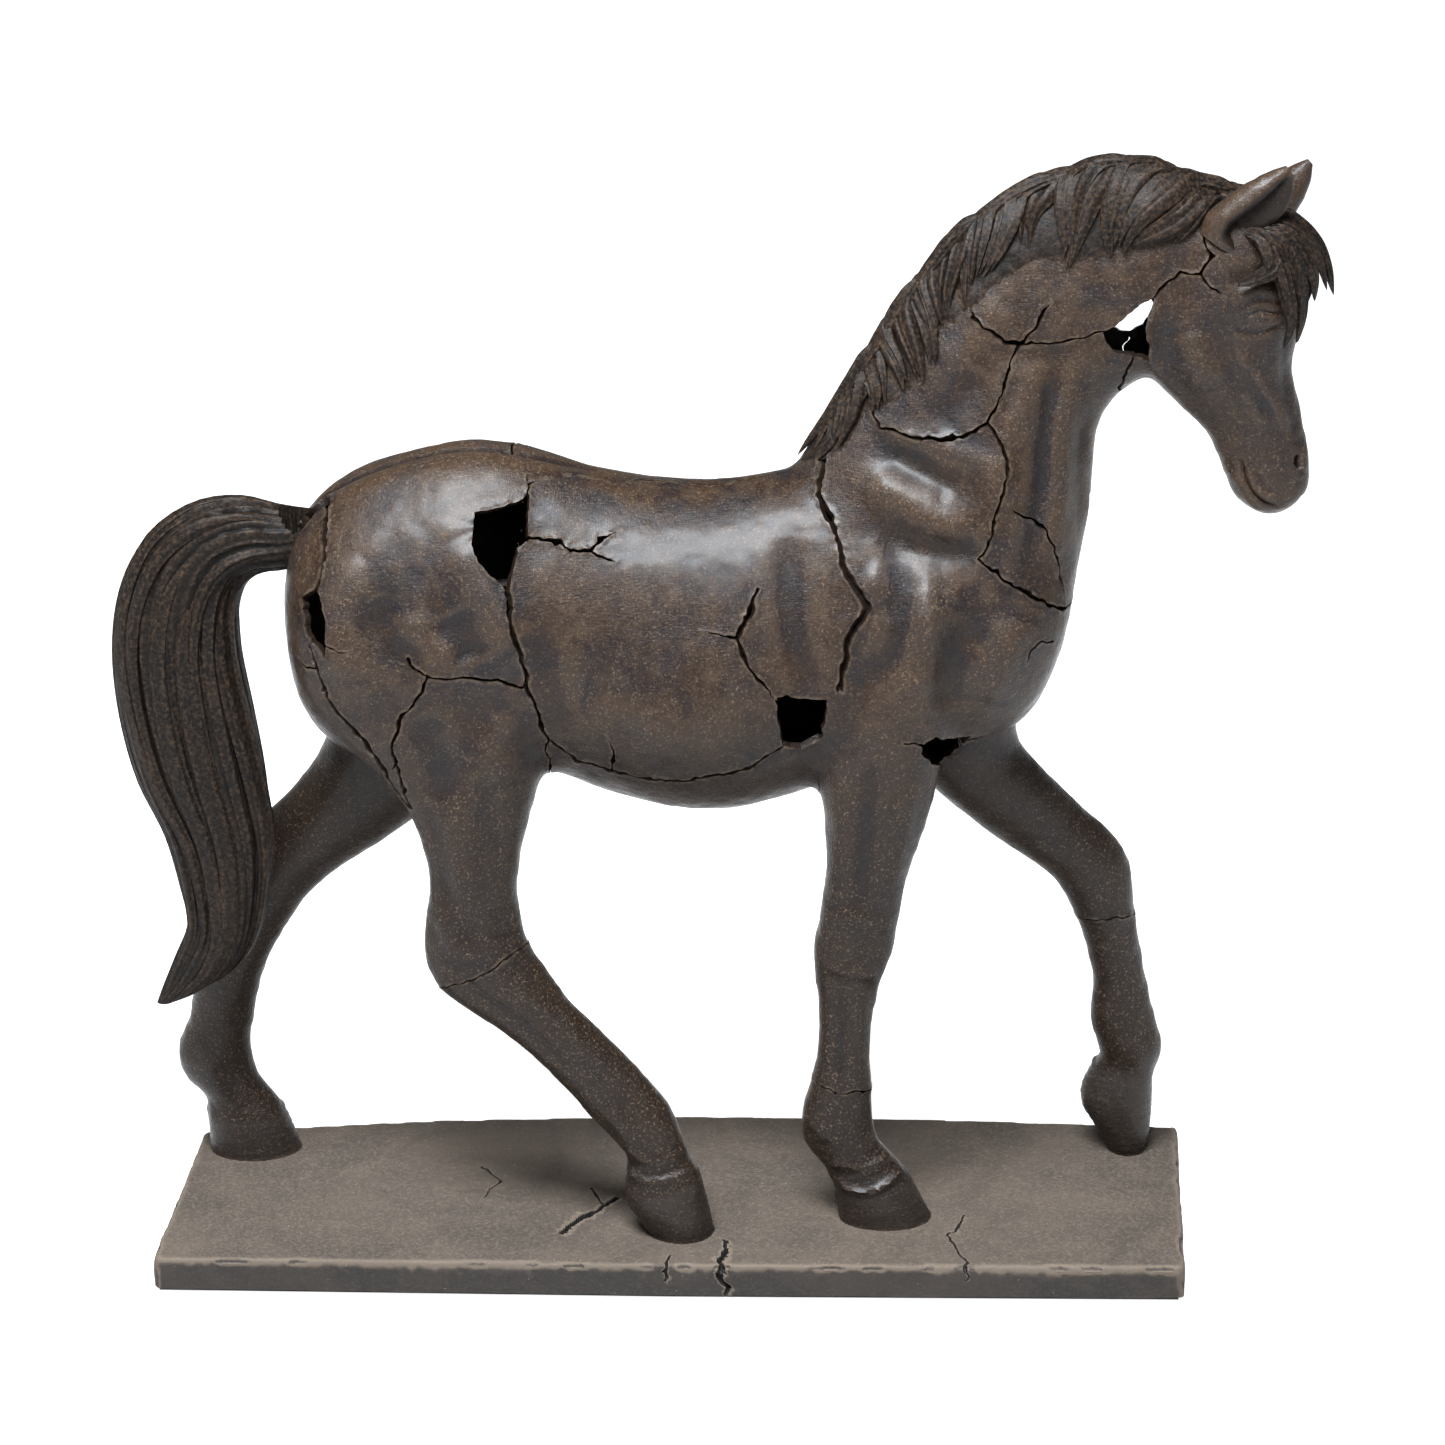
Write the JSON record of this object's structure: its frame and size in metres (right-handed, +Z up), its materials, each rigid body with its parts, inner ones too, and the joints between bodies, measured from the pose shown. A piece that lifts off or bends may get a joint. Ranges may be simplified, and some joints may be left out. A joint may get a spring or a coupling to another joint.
{
  "type": "horse statue",
  "caption": "Walking horse figure in dark cracked bronze, with an arched maned neck and long tail, on a flat oblong plinth.",
  "frame": {"origin": "middle of the felt sheet's underside, on the surface that the statue stands on", "axes": "+X towards the horse's nose along the plinth, +Y towards the horse's left side, +Z up"},
  "size_m": [0.4441, 0.128, 0.4249],
  "materials": {
    "bronze": "dark brown and blue-grey patina, waxed satin",
    "bronze_hair": "dark brown patina, lighter on the raised strands",
    "bronze_plinth": "brown-grey patina, matte and grainy",
    "steel": "plain drawn rod",
    "felt": "pressed felt"
  },
  "bodies": {
    "root": {"plinth": "bronze_plinth", "felt_sheet": "felt", "head": "bronze", "ear_right": "bronze", "ear_left": "bronze", "forelock": "bronze_hair", "mane_upper": "bronze_hair", "mane_middle": "bronze_hair", "mane_lower": "bronze_hair", "tail": "bronze_hair", "neck_upper": "bronze", "neck_middle": "bronze", "neck_throat": "bronze", "shoulder_right": "bronze", "shoulder_left": "bronze", "barrel_right": "bronze", "barrel_left": "bronze", "belly": "bronze", "rump_right": "bronze", "rump_left": "bronze", "buttock_right": "bronze", "thigh_right": "bronze", "hind_leg_right_lower": "bronze", "hind_leg_left": "bronze", "fore_leg_right_lower": "bronze", "fore_leg_left_lower": "bronze", "spine_rod": "steel", "fore_left_rod": "steel", "fore_right_rod": "steel", "hind_left_rod": "steel", "hind_right_rod": "steel", "fore_left_nut": "steel", "fore_right_nut": "steel", "hind_left_nut": "steel", "hind_right_nut": "steel", "fore_left_washer": "steel", "fore_right_washer": "steel", "hind_left_washer": "steel", "hind_right_washer": "steel"}
  },
  "joints": []
}
